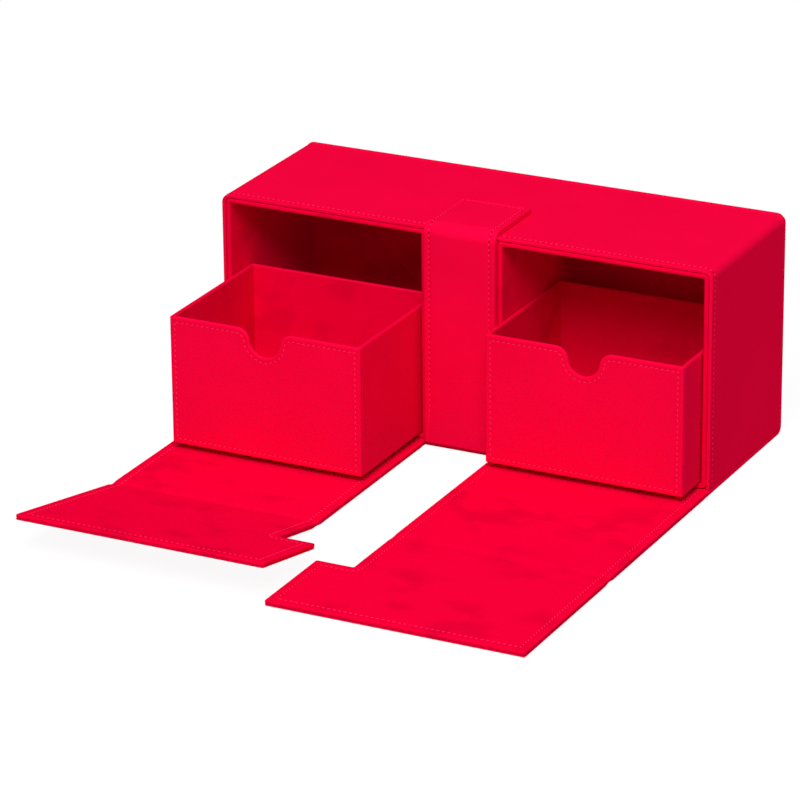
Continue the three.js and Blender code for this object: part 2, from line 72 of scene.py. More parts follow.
CASE_X = wrap_high.x
TOP = wrap_high.z
FRONT = wrap_low.y
WRAP_BACK = wrap_high.y
WRAP_FOOT = wrap_low.z
BACK = spine_high.y
SPINE_TOP = spine_high.z
BACK_IN = box_mm("back_board")[0].y
BASE_TOP = box_mm("base_board")[1].z
STRAP_X = strap_high.x
STRAP_END = strap_high.y
STRAP_FOOT = strap_low.z
FLAP_IN = panel_lining_low.x
FLAP_X = tip_high.x
FLAP_T = tip_high.z
FLAP_SEAM = (box_mm("right_panel_skin")[1].z + panel_lining_low.z) / 2
TAB_X = tip_low.x
TIP_END = tip_low.y
HINGE_Y = JOINTS["right_flap_fold"]["pos_m"][1] / MM
CREASE_Y = JOINTS["right_tip_fold"]["pos_m"][1] / MM
FOLD_Z = JOINTS["right_tip_fold"]["pos_m"][2] / MM
LIFT = {"left": -radians(JOINTS["left_tip_fold"]["range_deg"][0]), "right": 0.0}

# Sizes of the trimming, in millimetres
RIDGE_PITCH = 0.78              # of the leatherette's grain
CROSS_PITCH = 1.11
STITCH_PITCH = 2.6
STITCH_IN = 4.2                 # from an edge to its seam
STITCH_RISE = 0.1
STITCH_LEAN = 0.26              # in radians, out of the line of the seam
THREAD_RADIUS = 0.2
HOLE_LENGTH = 0.42              # half sizes of a needle hole
HOLE_WIDTH = 0.27
HOLE_PROUD = 0.025
HOLE_DEEP = 0.10
TAB_START = 36.9                # from a flap's crease to the near edge of its tab
CREASE_HALF = 4.6               # half the width of the soft bend at a crease
HINGE_HALF = 2.6                # half the width of the thinned lip at a hinge
LINING_DIP = 0.2                # depth of the sewing lines on a flap's lining and on its cover
COVER_DIP = 0.15

# From a stitch's middle to its end: share of its half length, rise in millimetres, share of its thickness
STITCH_END = ((0.6, 0.07, 0.97), (0.9, -0.04, 0.8), (1, -0.16, 0.55))
# Across a sewing line: share of its half width, share of its depth
GROOVE_SHARES = ((1, 0), (0.6, 0.45), (0.25, 0.9), (0, 1), (-0.25, 0.9), (-0.6, 0.45), (-1, 0))


# Node trees
class Nodes:
    """Short names for building a node tree."""

    def __init__(self, tree):
        self.tree = tree

    def add(self, kind, **values):
        node = self.tree.nodes.new(kind)
        for key, value in values.items():
            setattr(node, key, value)
        return node

    def link(self, a, b):
        self.tree.links.new(a, b)

    def math(self, op, a, b=None):
        node = self.add("ShaderNodeMath", operation=op)
        for index, value in enumerate((a, b)):
            if value is None:
                continue
            if isinstance(value, (int, float)):
                node.inputs[index].default_value = value
            else:
                self.link(value, node.inputs[index])
        return node.outputs[0]

    def noise(self, vector, scale, detail=2.0, rough=0.5):
        node = self.add("ShaderNodeTexNoise")
        node.inputs["Scale"].default_value = scale
        node.inputs["Detail"].default_value = detail
        node.inputs["Roughness"].default_value = rough
        self.link(vector, node.inputs["Vector"])
        return node.outputs["Fac"]

    def ramp(self, value, stops):
        node = self.add("ShaderNodeValToRGB")
        elements = node.color_ramp.elements
        while len(elements) < len(stops):
            elements.new(0.5)
        for element, (place, colour) in zip(elements, stops):
            element.position = place
            element.color = (*colour, 1)
        self.link(value, node.inputs[0])
        return node.outputs[0]

    def span(self, value, low, high, out_low, out_high):
        node = self.add("ShaderNodeMapRange")
        for index, number in enumerate((low, high, out_low, out_high), 1):
            node.inputs[index].default_value = number
        self.link(value, node.inputs[0])
        return node.outputs[0]

    def mix(self, fac, a, b):
        node = self.add("ShaderNodeMix", data_type="RGBA")
        for socket, value in ((node.inputs[0], fac), (node.inputs[6], a), (node.inputs[7], b)):
            if isinstance(value, (int, float)):
                socket.default_value = value
            elif isinstance(value, tuple):
                socket.default_value = (*value, 1)
            else:
                self.link(value, socket)
        return node.outputs[2]

    def mix_shader(self, fac, a, b):
        node = self.add("ShaderNodeMixShader")
        for socket, output in zip(node.inputs, (fac, a, b)):
            self.link(output, socket)
        return node.outputs[0]

    def bump(self, height, strength, distance, under=None):
        node = self.add("ShaderNodeBump")
        node.inputs["Strength"].default_value = strength
        node.inputs["Distance"].default_value = distance
        self.link(height, node.inputs["Height"])
        if under is not None:
            self.link(under, node.inputs["Normal"])
        return node.outputs[0]

    def place(self):
        """The place on the object, in metres."""
        return self.add("ShaderNodeTexCoord").outputs["Object"]

    def stretched(self, vector, scale, turn=0.0):
        """A place scaled along each axis and turned about the upright one."""
        node = self.add("ShaderNodeMapping")
        node.inputs["Scale"].default_value = scale
        node.inputs["Rotation"].default_value = (0, 0, turn)
        self.link(vector, node.inputs[0])
        return node.outputs[0]

    def flat_coords(self):
        """The place, and two coordinates in the surface, picked by the way that it faces."""
        tex = self.add("ShaderNodeTexCoord")
        place = self.add("ShaderNodeSeparateXYZ")
        normal = self.add("ShaderNodeSeparateXYZ")
        self.link(tex.outputs["Object"], place.inputs[0])
        self.link(tex.outputs["Normal"], normal.inputs[0])
        nx, ny, nz = (self.math("ABSOLUTE", normal.outputs[i]) for i in range(3))
        is_x = self.math("GREATER_THAN", nx, self.math("MAXIMUM", ny, nz))
        is_z = self.math("GREATER_THAN", nz, self.math("MAXIMUM", nx, ny))
        x, y, z = (place.outputs[i] for i in range(3))
        u = self.math("ADD", x, self.math("MULTIPLY", is_x, self.math("SUBTRACT", y, x)))
        v = self.math("ADD", z, self.math("MULTIPLY", is_z, self.math("SUBTRACT", y, z)))
        return tex.outputs["Object"], u, v

    def shown(self):
        """1 where the camera, a reflection or clear glass looks, and 0 for the light on the object."""
        path = self.add("ShaderNodeLightPath")
        direct = self.math("MAXIMUM", path.outputs["Is Camera Ray"], path.outputs["Is Glossy Ray"])
        return self.math("MAXIMUM", direct, path.outputs["Is Transmission Ray"])


class Material(Nodes):
    """A new material's node tree."""

    def __init__(self, name):
        self.mat = bpy.data.materials.new(name)
        self.mat.use_nodes = True
        super().__init__(self.mat.node_tree)
        self.bsdf = self.tree.nodes["Principled BSDF"]

    def put(self, socket, value):
        """Sets a socket of the shader to a value, or links it to a node's output."""
        if isinstance(value, (int, float, tuple)):
            self.bsdf.inputs[socket].default_value = value
        else:
            self.link(value, self.bsdf.inputs[socket])


# Materials
def shade(colour, share):
    return tuple(channel * share for channel in colour)


def leatherette(name, colour):
    """Embossed leatherette: fine diagonal ridges cut into lozenges by fainter cross lines."""
    m = Material(name)
    place, u, v = m.flat_coords()
    wander = m.math("MULTIPLY", m.math("SUBTRACT", m.noise(place, 420, 2), 0.5), 1.2)
    across = m.math("MULTIPLY", m.math("ADD", u, v), pi / (CROSS_PITCH * MM * sqrt(2)))
    along = m.math("MULTIPLY", m.math("SUBTRACT", u, v), pi / (RIDGE_PITCH * MM * sqrt(2)))
    cross = m.math("ABSOLUTE", m.math("SINE", m.math("ADD", across, wander)))
    ridge = m.math("ABSOLUTE", m.math("SINE", m.math("SUBTRACT", along, wander)))
    lozenge = m.math("POWER", m.math("MULTIPLY", ridge, m.span(cross, 0, 1, 0.45, 1)), 0.7)
    broad = m.noise(place, 28, 3, 0.55)
    fine = m.noise(place, 2600, 2, 0.6)
    red, green, blue = colour
    # Painted shade in the grain's grooves: a darker, less pink colour, which leaves the raised lozenges looking
    # glossier.
    groove_shade = (red * 0.72, green * 0.4, blue * 0.42)
    dark = (red * 0.95, green * 0.9, blue * 0.93)
    body = m.mix(m.span(broad, 0.35, 0.65, 0, 1), dark, colour)
    m.put("Base Color", m.mix(m.span(lozenge, 0.0, 0.85, 0.75, 0.0), body, groove_shade))
    uneven = m.math("MULTIPLY", m.math("SUBTRACT", broad, 0.5), 0.16)
    m.put("Roughness", m.math("ADD", m.span(lozenge, 0, 1, 0.62, 0.48), uneven))
    m.put("Normal", m.bump(lozenge, 0.55, 0.00008, m.bump(fine, 0.2, 0.00004)))
    m.put("Specular IOR Level", 0.0)
    m.put("Metallic", 0.14)
    m.put("Specular Tint", (1.0, 0.02, 0.12, 1))
    return m.mat


def suede(name, colour):
    """Short-napped cloth: a fine fibrous grain, stroked darker in soft patches."""
    m = Material(name)
    place = m.place()
    patches = m.noise(m.stretched(place, (0.85, 1.15, 1.0), 0.2), 52, 2, 0.5)
    clouds = m.noise(place, 25, 1, 0.5)
    nap = m.noise(place, 1500, 3, 0.7)
    fibre = m.noise(m.stretched(place, (1.0, 0.3, 1.0), 0.6), 5200, 3, 0.65)
    dark = shade(colour, 0.74)
    mottle = m.math("MULTIPLY", m.span(patches, 0.48, 0.64, 0, 1), m.span(clouds, 0.40, 0.56, 0, 1))
    body = m.mix(m.math("MULTIPLY", mottle, 0.75), colour, dark)
    brushed = m.mix(m.span(nap, 0.35, 0.7, 0.2, 0.0), body, dark)
    m.put("Base Color", m.mix(m.span(fibre, 0.38, 0.62, 0.55, 0.0), brushed, dark))
    m.put("Roughness", 0.95)
    m.put("Specular IOR Level", 0.0)
    m.put("Sheen Weight", 0.12)
    m.put("Sheen Roughness", 0.5)
    m.put("Sheen Tint", (1.0, 0.004, 0.05, 1))
    m.put("Normal", m.bump(fibre, 0.6, 0.00012, m.bump(nap, 0.4, 0.00010)))
    return m.mat


def thread(name, colour):
    """Twisted sewing thread."""
    m = Material(name)
    place = m.place()
    twist = m.add("ShaderNodeTexWave", wave_type="BANDS", bands_direction="DIAGONAL")
    twist.inputs["Scale"].default_value = 900
    twist.inputs["Distortion"].default_value = 1.5
    m.link(place, twist.inputs["Vector"])
    strands = twist.outputs["Fac"]
    m.put("Base Color", m.mix(m.span(strands, 0, 1, 0, 0.6), colour, shade(colour, 0.72)))
    m.put("Roughness", m.span(m.noise(place, 900), 0.3, 0.7, 0.42, 0.6))
    m.put("Normal", m.bump(strands, 0.5, 0.00005))
    m.put("Specular IOR Level", 0.03)
    return m.mat


def needle_hole_shade(name, colour):
    """Painted shade of a needle hole, where the leatherette is pinched in: a darkened leatherette colour."""
    m = Material(name)
    m.put("Base Color", m.mix(m.noise(m.place(), 800), colour, shade(colour, 0.6)))
    m.put("Roughness", 0.95)
    m.put("Specular IOR Level", 0.0)
    return m.mat


def greyboard(name):
    """Grey pressed board with darker and lighter flecks of pulp."""
    m = Material(name)
    flecks = m.noise(m.place(), 900, 4, 0.7)
    stops = [(0.3, (0.19, 0.18, 0.165)), (0.55, (0.28, 0.265, 0.245)), (0.75, (0.36, 0.345, 0.32))]
    m.put("Base Color", m.ramp(flecks, stops))
    m.put("Roughness", m.span(flecks, 0.3, 0.7, 0.85, 0.97))
    m.put("Normal", m.bump(flecks, 0.3, 0.00006))
    return m.mat


def plated(name, colour, rough):
    """Plated metal with faint rolling marks."""
    m = Material(name)
    marks = m.noise(m.stretched(m.place(), (1, 30, 30)), 120, 3, 0.6)
    m.put("Base Color", m.mix(m.span(marks, 0.35, 0.65, 0, 0.5), colour, shade(colour, 0.8)))
    m.put("Roughness", m.span(marks, 0.3, 0.7, rough, rough + 0.15))
    m.put("Normal", m.bump(marks, 0.1, 0.00002))
    m.put("Metallic", 1.0)
    return m.mat


LEATHER = leatherette("leatherette", (0.92, 0.0016, 0.054))
LINING = suede("suede_lining", (0.92, 0.0, 0.040))
THREAD = thread("red_thread", (0.98, 0.020, 0.110))
# Painted shade: the dark colour of the plugs in the needle holes.
HOLE_SHADE = needle_hole_shade("needle_hole_shade", (0.46, 0.0, 0.018))
BOARD = greyboard("greyboard")
STEEL = plated("keeper_steel", (0.52, 0.53, 0.55), 0.32)
NICKEL = plated("magnet_nickel", (0.62, 0.60, 0.56), 0.2)


# Outlines and solids
def arc(x, y, radius, start, end, steps):
    """Points round a centre (x, y) from one angle to another."""
    angles = [start + (end - start) * j / steps for j in range(steps + 1)]
    return [(x + radius * cos(a), y + radius * sin(a)) for a in angles]


def outline(corners, inset=0.0, steps=5, least=0.03):
    """A closed outline through corners (u, v, radius), anticlockwise, moved inwards by inset.
    No corner gets a smaller radius than least."""
    count = len(corners)
    lines = []
    for i in range(count):
        (ax, ay, _), (bx, by, _) = corners[i], corners[(i + 1) % count]
        length = hypot(bx - ax, by - ay)
        dx, dy = (bx - ax) / length, (by - ay) / length
        lines.append((ax - dy * inset, ay + dx * inset, dx, dy))
    points = []
    for i in range(count):
        px, py, dx, dy = lines[i - 1]
        qx, qy, ex, ey = lines[i]
        cross = dx * ey - dy * ex
        along = ((qx - px) * ey - (qy - py) * ex) / cross
        cx, cy = px + along * dx, py + along * dy
        turn = atan2(cross, dx * ex + dy * ey)
        side = 1 if turn > 0 else -1
        radius = max(corners[i][2] - side * inset, least)
        reach = radius * tan(abs(turn) / 2)
        sx, sy = cx - reach * dx, cy - reach * dy
        ox, oy = sx - side * radius * dy, sy + side * radius * dx
        start = atan2(sy - oy, sx - ox)
        points += arc(ox, oy, radius, start, start + turn, steps)
    return points


def rolled(low, high, low_round, high_round, steps=4, groove=None):
    """Levels (height, inset) of a plate with rounded edges, and a sunk sewing line on its upper face."""
    levels = arc(low + low_round, low_round, low_round, pi, 1.5 * pi, steps)
    levels += arc(high - high_round, high_round, high_round, -pi / 2, 0, steps)
    if groove:
        where, depth, half = groove
        levels += [(high, where - half), (high - 0.7 * depth, where - 0.4 * half), (high - depth, where),
                   (high - 0.7 * depth, where + 0.4 * half), (high, where + half)]
    return levels


def loft(rings):
    """Points and faces of a row of closed rings joined one to the next, closed at both ends."""
    count = len(rings[0])
    points = [p for ring in rings for p in ring]
    faces = []
    for i in range(len(rings) - 1):
        for j in range(count):
            k = (j + 1) % count
            faces.append((i * count + j, i * count + k, (i + 1) * count + k, (i + 1) * count + j))
    faces.append(tuple(reversed(range(count))))
    faces.append(tuple(range((len(rings) - 1) * count, len(rings) * count)))
    return points, faces


def plate(shape, levels, place):
    """A plate whose outline is shape(inset), with place turning (u, v, height) into a point."""
    return loft([[place(u, v, height) for u, v in shape(inset)] for height, inset in levels])


def as_drawn(u, v, height):
    return (u, v, height)


def edit_mesh(mesh, change=None):
    """Makes a change to a mesh and turns its faces outwards."""
    bm = bmesh.new()
    bm.from_mesh(mesh)
    if change:
        change(bm)
    bmesh.ops.recalc_face_normals(bm, faces=bm.faces)
    if bm.calc_volume(signed=True) < 0:             # a thin plate can come out facing inwards
        bmesh.ops.reverse_faces(bm, faces=bm.faces)
    bm.to_mesh(mesh)
    bm.free()


def cut_across(bm, point, normal, **keep):
    """Cuts a mesh on a plane through a point in millimetres."""
    return bmesh.ops.bisect_plane(bm, geom=bm.verts[:] + bm.edges[:] + bm.faces[:], dist=1e-7,
                                  plane_co=Vector(point) * MM, plane_no=normal, **keep)


def new_mesh(name, solids):
    """One mesh object, in metres, from closed solids: each its points, its faces and, past the first
    material, the material's number."""
    points, faces, marks = [], [], []
    for solid in solids:
        base = len(points)
        points += [Vector(p) * MM for p in solid[0]]
        faces += [tuple(i + base for i in face) for face in solid[1]]
        marks += [solid[2] if len(solid) > 2 else 0] * len(solid[1])
    mesh = bpy.data.meshes.new(name)
    mesh.from_pydata(points, [], faces)
    mesh.update()
    for polygon, mark in zip(mesh.polygons, marks):
        polygon.material_index = mark
    edit_mesh(mesh)
    obj = bpy.data.objects.new(name, mesh)
    scene.collection.objects.link(obj)
    return obj


def finish_piece(obj, materials, body=None, blend=None, replaces=()):
    for material in materials:
        obj.data.materials.append(material)
    for polygon in obj.data.polygons:
        polygon.use_smooth = True
    weighted = obj.modifiers.new("weighted", "WEIGHTED_NORMAL")
    weighted.keep_sharp = True
    weighted.weight = 80
    if blend:
        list(blend)
        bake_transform(obj)
    else:
        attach(obj, body)
    if replaces:
        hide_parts(*replaces)


# Stitching
def resample(path, pitch, closed):
    """Points at an even pitch along a path, each with its direction, and the pitch that fits."""
    points = [Vector(p) for p in path]
    if closed:
        points.append(points[0])
    lengths = [(b - a).length for a, b in zip(points, points[1:])]
    total = sum(lengths)
    count = max(2, round(total / pitch))
    result, index, passed = [], 0, 0.0
    for i in range(count):
        target = total * (i + 0.5) / count
        while passed + lengths[index] < target and index < len(lengths) - 1:
            passed += lengths[index]
            index += 1
        a, b = points[index], points[index + 1]
        share = (target - passed) / lengths[index] if lengths[index] > 0 else 0
        result.append((a.lerp(b, share), (b - a).normalized()))
    return result, total / count


def oval(centre, long_way, short_way, sides=8):
    angles = [2 * pi * i / sides for i in range(sides)]
    return [centre + long_way * cos(a) + short_way * sin(a) for a in angles]


def one_stitch(centre, along, up, half):
    """A stitch that leans a little out of its seam, rises out of one hole and dives into the next."""
    across = up.cross(along)
    tilted = (along * cos(STITCH_LEAN) + across * sin(STITCH_LEAN)).normalized()
    beside = up.cross(tilted)
    stages = [(-share, rise, size) for share, rise, size in reversed(STITCH_END)]
    stages += [(0, STITCH_RISE, 1), *STITCH_END]
    rings = []
    for share, rise, size in stages:
        middle = centre + tilted * (half * share) + up * rise
        radius = THREAD_RADIUS * size
        rings.append(oval(middle, beside * radius, up * (radius * 0.8)))
    return loft(rings)


def hole_shade_plug(centre, along, up, size):
    """An oval plug a hair proud of the surface, painted with the shade of a needle hole."""
    long_way = along * (HOLE_LENGTH * size)
    short_way = up.cross(along) * (HOLE_WIDTH * size)
    return loft([oval(centre + up * HOLE_PROUD, long_way, short_way),
                 oval(centre - up * HOLE_DEEP, long_way, short_way)])


def stitch_solids(path, normal, closed=False, hole=0.85, length=0.62):
    """Stitches, and plugs of painted needle-hole shade, along a path of points. normal(point) gives the way that
    the surface faces, hole the size of the painted hole shade, and length a stitch's share of the pitch."""
    solids = []
    places, step = resample(path, STITCH_PITCH, closed)
    for centre, direction in places:
        up = normal(centre).normalized()
        along = (direction - up * direction.dot(up)).normalized()
        solids.append((*one_stitch(centre, along, up, step * length / 2), 0))
        # a dark plug of painted shade in each needle hole
        solids.append((*hole_shade_plug(centre + along * (step / 2), along, up, hole), 1))
    return solids


def stitches(name, runs, body, hole=0.85, length=0.62):
    """All the stitching of one piece, from runs of (path, normal, closed)."""
    solids = []
    for path, normal, closed in runs:
        solids += stitch_solids(path, normal, closed, hole, length)
    finish_piece(new_mesh(name, solids), [THREAD, HOLE_SHADE], body)


def facing(x, y, z):
    direction = Vector((x, y, z))
    return lambda point: direction


# Case
def round_corners(obj, corner_x, corner_z, radius, steps=8):
    """Rounds an object's two top corners, seen from the front, by bending its square ones in."""
    middle_x, middle_z = corner_x - radius, corner_z - radius

    def bend(bm):
        for step in range(steps + 1):
            away = radius * step / steps
            cut_across(bm, (middle_x + away, 0, 0), (1, 0, 0))
            cut_across(bm, (-middle_x - away, 0, 0), (1, 0, 0))
            cut_across(bm, (0, 0, middle_z + away), (0, 0, 1))
        for vertex in bm.verts:
            dx, dz = abs(vertex.co.x) / MM - middle_x, vertex.co.z / MM - middle_z
            if dx > 0 and dz > 0:
                pull = max(dx, dz) / hypot(dx, dz)
                vertex.co.x = (middle_x + dx * pull) * MM * (1 if vertex.co.x > 0 else -1)
                vertex.co.z = (middle_z + dz * pull) * MM

    edit_mesh(obj.data, bend)


def make_spine():
    """The skin of base and back, an L seen from the side, with a seam round each of its outer faces."""
    over = 0.03                                     # how far it lies over the boards' inner faces
    edge_round, heel_round, corner_round = 0.9, 4.0, 4.4
    front_round, top_round, elbow_round = 0.6, 1.0, 0.3
    inside_y, inside_z = BACK_IN - over, BASE_TOP + over
    corners = [(FRONT, 0, front_round), (BACK, 0, heel_round), (BACK, SPINE_TOP, top_round),
               (inside_y, SPINE_TOP, edge_round), (inside_y, inside_z, elbow_round),
               (FRONT, inside_z, front_round)]
    solid = plate(lambda inset: outline(corners, inset, 6), rolled(-CASE_X, CASE_X, edge_round, edge_round),
                  lambda u, v, height: (height, u, v))
    cover = new_mesh("spine_cover", [solid])
    round_corners(cover, CASE_X, SPINE_TOP, corner_round)
    finish_piece(cover, [LEATHER], "case", replaces=["spine_skin"])

    edge, top, foot = CASE_X - STITCH_IN, SPINE_TOP - STITCH_IN, 7.5
    front_end, back_end = FRONT + 2, BACK - 7
    over_back = [(-edge, BACK, foot), (-edge, BACK, top), (edge, BACK, top), (edge, BACK, foot)]
    runs = [(over_back, facing(0, 1, 0), False)]
    for side in (-1, 1):
        under_base = [(side * edge, front_end, 0), (side * edge, back_end, 0)]
        runs.append((under_base, facing(0, 0, -1), False))
    stitches("spine_stitches", runs, "case")


def make_wrap():
    """The skin over two sides and the top, with one seam behind its front edge."""
    wall, corner, foot_round = 1.65, 4.2, 0.45
    outer_round, inner_round, back_round, groove_round = 0.5, 0.35, 0.3, 0.5
    row, dip, half = FRONT + 3.2, 0.15, 0.8         # the sewing line, its depth and half its width
    foot, seam_foot = WRAP_FOOT + 0.15, 2           # a fine groove stays over the base's edge
    bend_x, bend_z = CASE_X - corner, TOP - corner
    wall_top = bend_z - 0.01
    corners = [(FRONT, 0, outer_round), (row - half, 0, groove_round), (row, dip, groove_round),
               (row + half, 0, groove_round), (WRAP_BACK, 0, back_round), (WRAP_BACK, wall, back_round),
               (FRONT, wall, inner_round)]

    # Places up one side, over the top and down the other, each with the way in through the wall
    stations = [((-CASE_X, foot + foot_round), (1, 0)), ((-CASE_X, wall_top), (1, 0))]
    for side, start in ((-1, pi), (1, pi / 2)):
        for j in range(11):
            a = start - pi / 2 * j / 10
            place = (side * bend_x + corner * cos(a), bend_z + corner * sin(a))
            stations.append((place, (-cos(a), -sin(a))))
    stations += [((CASE_X, wall_top), (-1, 0)), ((CASE_X, foot + foot_round), (-1, 0))]
    section = outline(corners, 0, 6)
    rings = [[(x + nx * t, y, z + nz * t) for y, t in section] for (x, z), (nx, nz) in stations]
    feet = arc(foot + foot_round, foot_round, foot_round, pi, 1.5 * pi, 4)
    for z, inset in reversed(feet[:-1]):
        section = outline(corners, inset, 6)
        rings.insert(0, [(-CASE_X + t, y, z) for y, t in section])
        rings.append([(CASE_X - t, y, z) for y, t in section])
    finish_piece(new_mesh("wrap_cover", [loft(rings)]), [LEATHER], "case",
                 replaces=["wrap_skin"])

    path = [(x + nx * dip, row, z + nz * dip) for (x, z), (nx, nz) in stations]
    path[0] = (-CASE_X + dip, row, foot + seam_foot)
    path[-1] = (CASE_X - dip, row, foot + seam_foot)

    def out(point):
        side = 1 if point.x > 0 else -1
        if point.z < bend_z:
            return Vector((side, 0, 0))
        if abs(point.x) < bend_x:
            return Vector((0, 0, 1))
        return Vector((point.x - side * bend_x, 0, point.z - bend_z))

    strap_gap = STRAP_X + 0.6                       # the strap hides the seam between these
    left = [p for p in path if p[0] < -strap_gap] + [(-strap_gap, row, TOP - dip)]
    right = [(strap_gap, row, TOP - dip)] + [p for p in path if p[0] > strap_gap]
    # bigger plugs of painted hole shade make these rows darker
    stitches("wrap_stitches", [(left, out, False), (right, out, False)], "case", hole=1.15, length=0.5)


def make_liner(name, side):
    """The suede lining of one compartment, rolled round its front rim."""
    grow, wall, rim = 0.05, 2.28, 0.85
    outer_corner, inner_corner, least_corner = 2.25, 1.5, 0.9
    low, high = box_mm(name + "_liner_cloth")
    x0, x1, z0, z1 = low.x - grow, high.x + grow, low.z - grow, high.z + grow
    left, right = (inner_corner, outer_corner) if side > 0 else (outer_corner, inner_corner)
    corners = [(x0, z0, left), (x1, z0, right), (x1, z1, right), (x0, z1, left)]
    outer_end, floor_end = high.y + 1.7, high.y - 0.5
    levels = [(outer_end, 0.0)]
    levels += arc(FRONT + rim, rim, rim, -pi / 2, -pi, 5)
    levels += arc(FRONT + rim, wall - rim, rim, pi, pi / 2, 5)
    levels.append((floor_end, wall))
    solid = plate(lambda inset: outline(corners, inset, 6, least_corner), levels,
                  lambda u, v, height: (u, height, v))
    finish_piece(new_mesh(name + "_liner_cover", [solid]), [LINING], "case",
                 replaces=[name + "_liner_cloth"])


def make_centre():
    """Leatherette over the board behind the strap."""
    grow, edge_round = 0.04, 0.1
    low, high = box_mm("centre_board")
    x0, x1, y0, y1 = low.x - grow, high.x + grow, low.y - grow, high.y + grow
    corners = [(x, y, edge_round) for x, y in ((x0, y0), (x1, y0), (x1, y1), (x0, y1))]
    levels = rolled(low.z - grow, high.z + grow, edge_round, edge_round, 2)
    solid = plate(lambda inset: outline(corners, inset, 3), levels, as_drawn)
    finish_piece(new_mesh("centre_cover", [solid]), [LEATHER], "case")


def make_strap():
    """The strap up the front and over the top. Its back turns a square corner and its face a round one."""
    thick, crown = 2.85, 0.12                       # the face swells by crown between its seams
    bend = 3.4                                      # from the case's corner to the centre of the bend
    gap, seam_in, seam_foot = 0.06, 3.1, 2.0
    back_y, back_z = FRONT - gap, TOP + gap
    half = STRAP_X
    seam, seam_half, dip = half - seam_in, 1.0, 0.42
    back_round, face_round, foot_round, end_round = 0.5, 1.15, 1.1, 1.2
    join, join_shares = 1.25, ((-0.28, 0), (-0.1, 0.22), (0, 0.3), (0.1, 0.22), (0.28, 0))

    # Half of the section from the middle of the back to the face, as (across, out), and then all of it.
    section = arc(half - back_round, back_round, back_round, -pi / 2, 0, 6)
    section += [(half - depth, join + away) for away, depth in join_shares]
    section += arc(half - face_round, thick - face_round, face_round, 0, pi / 2, 6)
    section += [(seam + seam_half * away, thick - dip * share) for away, share in GROOVE_SHARES]
    mirrored = [(-x, t) for x, t in reversed(section)]
    inner = seam - seam_half
    across_face = [1 - j / 6 for j in range(1, 12)]
    section += [(inner * share, thick + crown * (1 - share ** 2)) for share in across_face] + mirrored

    # Stations along the strap: a place on its back, the way out, and its share of the full thickness.
    front_way, top_way = Vector((0, -1, 0)), Vector((0, 0, 1))
    centre = Vector((0, back_y + bend, back_z - bend))
    last_row = STRAP_END - seam_in
    stations = []
    for j in range(6):
        z = STRAP_FOOT + (TOP - bend - STRAP_FOOT) * j / 5
        stations.append((Vector((0, back_y, z)), front_way, 1))
    for j in range(1, 13):
        a = pi - pi / 2 * j / 13
        out = Vector((0, cos(a), sin(a)))
        reach = bend / max(-cos(a), sin(a))
        stations.append((centre + out * reach, out, (bend + thick - reach) / thick))
    for j in range(5):
        y = centre.y + (last_row - seam_half - centre.y) * j / 4
        stations.append((Vector((0, y, back_z)), top_way, 1))
    tail = (Vector((0, STRAP_END, back_z)), top_way, 1)

    def ring(station, end_dip=0.0, narrow=0.0, pinch=0.0, grooved=True):
        """The section at a station: sunk at the seam across the end, or shrunk at a rolled edge."""
        place, out, share = station
        highest = thick + crown - (dip + crown) * end_dip
        width, depth = 1 - narrow / half, 1 - pinch / (thick / 2)
        points = []
        for x, t in section:
            if abs(x) < seam:
                t = min(t, highest)
            if not grooved and abs(abs(x) - seam) < seam_half:
                t = thick
            height = share * (thick / 2 + (t - thick / 2) * depth)
            points.append(place + Vector((x * width, 0, 0)) + out * height)
        return points

    foot_place, foot_way, _ = stations[0]
    rings = []
    for rise, shrink in arc(foot_round, foot_round, foot_round, pi, 1.5 * pi, 4):
        lifted = (foot_place + Vector((0, 0, rise)), foot_way, 1)
        rings.append(ring(lifted, narrow=shrink, pinch=shrink * 0.9, grooved=False))
    rings += [ring(station) for station in stations[1:]]
    for away, share in reversed(GROOVE_SHARES[:-1]):
        place = Vector((0, last_row + seam_half * away, back_z))
        rings.append(ring((place, top_way, 1), end_dip=share))
    for back, shrink in arc(end_round, end_round, end_round, -pi / 2, -pi, 5):
        drawn = (tail[0] - Vector((0, back, 0)), tail[1], 1)
        rings.append(ring(drawn, narrow=shrink, pinch=shrink * 0.8, grooved=False))
    finish_piece(new_mesh("strap_cover", [loft(rings)]), [LEATHER], "case",
                 replaces=["strap_skin"])

    def row(x):
        points = [place + out * (thick * share - dip) + Vector((x, 0, 0))
                  for place, out, share in stations + [tail]]
        points[0].z += seam_foot
        points[-1].y = last_row
        return points

    def out_of(point):
        if point.z < TOP - bend:
            return front_way
        if point.y > centre.y:
            return top_way
        return Vector((0, point.y - centre.y, point.z - centre.z))

    loop = row(-seam) + list(reversed(row(seam)))
    # bigger plugs of painted hole shade make these rows darker
    stitches("strap_stitches", [(loop, out_of, False)], "case", hole=1.3, length=0.5)


